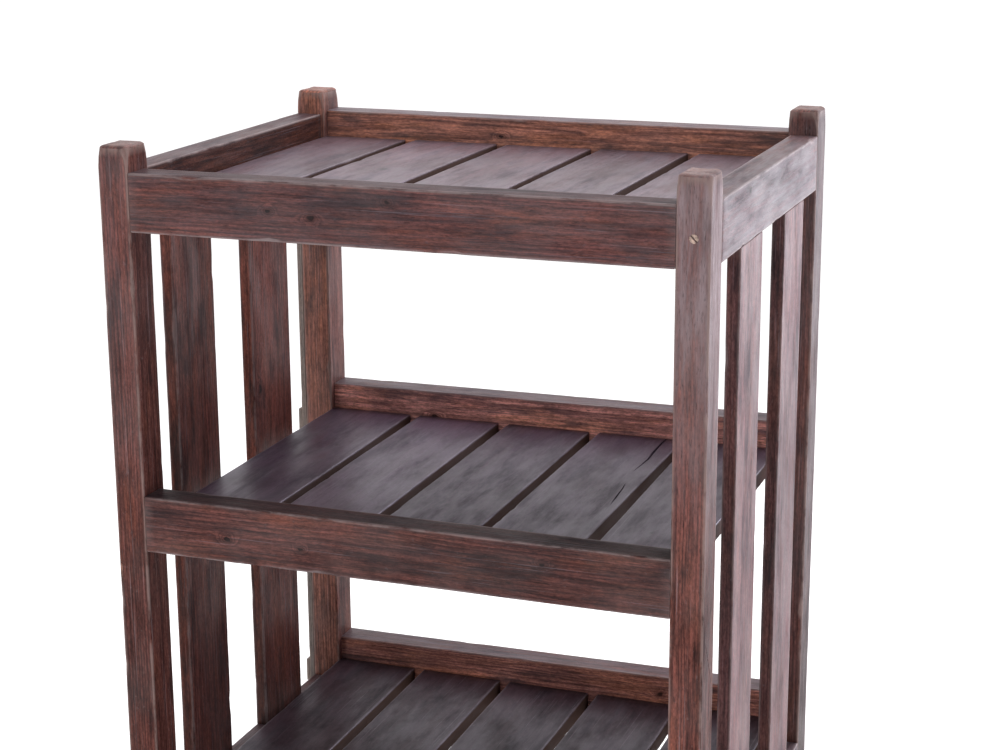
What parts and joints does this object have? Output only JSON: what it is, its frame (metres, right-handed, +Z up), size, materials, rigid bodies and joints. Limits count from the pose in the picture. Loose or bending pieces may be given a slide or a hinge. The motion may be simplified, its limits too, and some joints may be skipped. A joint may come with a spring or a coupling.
{
  "type": "open shelf rack",
  "caption": "Free-standing open rack of dark-stained softwood: a rimmed top tray and lower slatted shelves between square posts, with upright slats at the sides.",
  "frame": {"origin": "the floor under the middle of the four posts, which is the middle of the rack's underside to within the batten's half thickness", "axes": "+Z up, the rack's front faces -Y, and +X is to the right as seen from the front"},
  "size_m": [0.875, 0.685, 1.194],
  "materials": {
    "post_wood": "reddish-brown stained softwood, satin, worn at the arrises",
    "rail_wood": "reddish-brown stained softwood, satin, with knots and dark stains",
    "slat_wood": "reddish-brown stained softwood, satin",
    "board_wood": "dark brown stained softwood boards with a greyish worn sheen",
    "cleat_wood": "dark brown stained softwood, matt",
    "batten_wood": "greyish-brown weathered softwood, matt",
    "peg_wood": "lighter brown hardwood end grain, worn",
    "wedge_wood": "dark hardwood, matt",
    "fixing_steel": "dull zinc-coated steel"
  },
  "bodies": {
    "root": {"post_front_left": "post_wood", "post_front_right": "post_wood", "post_back_left": "post_wood", "post_back_right": "post_wood", "top_front_rail": "rail_wood", "top_back_rail": "rail_wood", "middle_front_rail": "rail_wood", "middle_back_rail": "rail_wood", "lower_front_rail": "rail_wood", "lower_back_rail": "rail_wood", "top_left_rail": "rail_wood", "top_right_rail": "rail_wood", "lower_left_rail": "rail_wood", "lower_right_rail": "rail_wood", "left_slat_front": "slat_wood", "left_slat_rear": "slat_wood", "right_slat_front": "slat_wood", "right_slat_rear": "slat_wood", "top_board_1": "board_wood", "top_board_2": "board_wood", "top_board_3": "board_wood", "top_board_4": "board_wood", "top_board_5": "board_wood", "middle_board_1": "board_wood", "middle_board_2": "board_wood", "middle_board_3": "board_wood", "middle_board_4": "board_wood", "middle_board_5": "board_wood", "lower_board_1": "board_wood", "lower_board_2": "board_wood", "lower_board_3": "board_wood", "lower_board_4": "board_wood", "lower_board_5": "board_wood", "top_front_cleat": "cleat_wood", "top_back_cleat": "cleat_wood", "middle_front_cleat": "cleat_wood", "middle_back_cleat": "cleat_wood", "lower_front_cleat": "cleat_wood", "lower_back_cleat": "cleat_wood", "top_board_screws": "fixing_steel", "middle_board_screws": "fixing_steel", "lower_board_screws": "fixing_steel", "top_cleat_screws": "fixing_steel", "middle_cleat_screws": "fixing_steel", "lower_cleat_screws": "fixing_steel", "corner_peg": "peg_wood", "peg_wedge": "wedge_wood", "post_batten": "batten_wood", "batten_block_upper": "batten_wood", "batten_block_lower": "batten_wood", "batten_nails": "fixing_steel"}
  },
  "joints": []
}
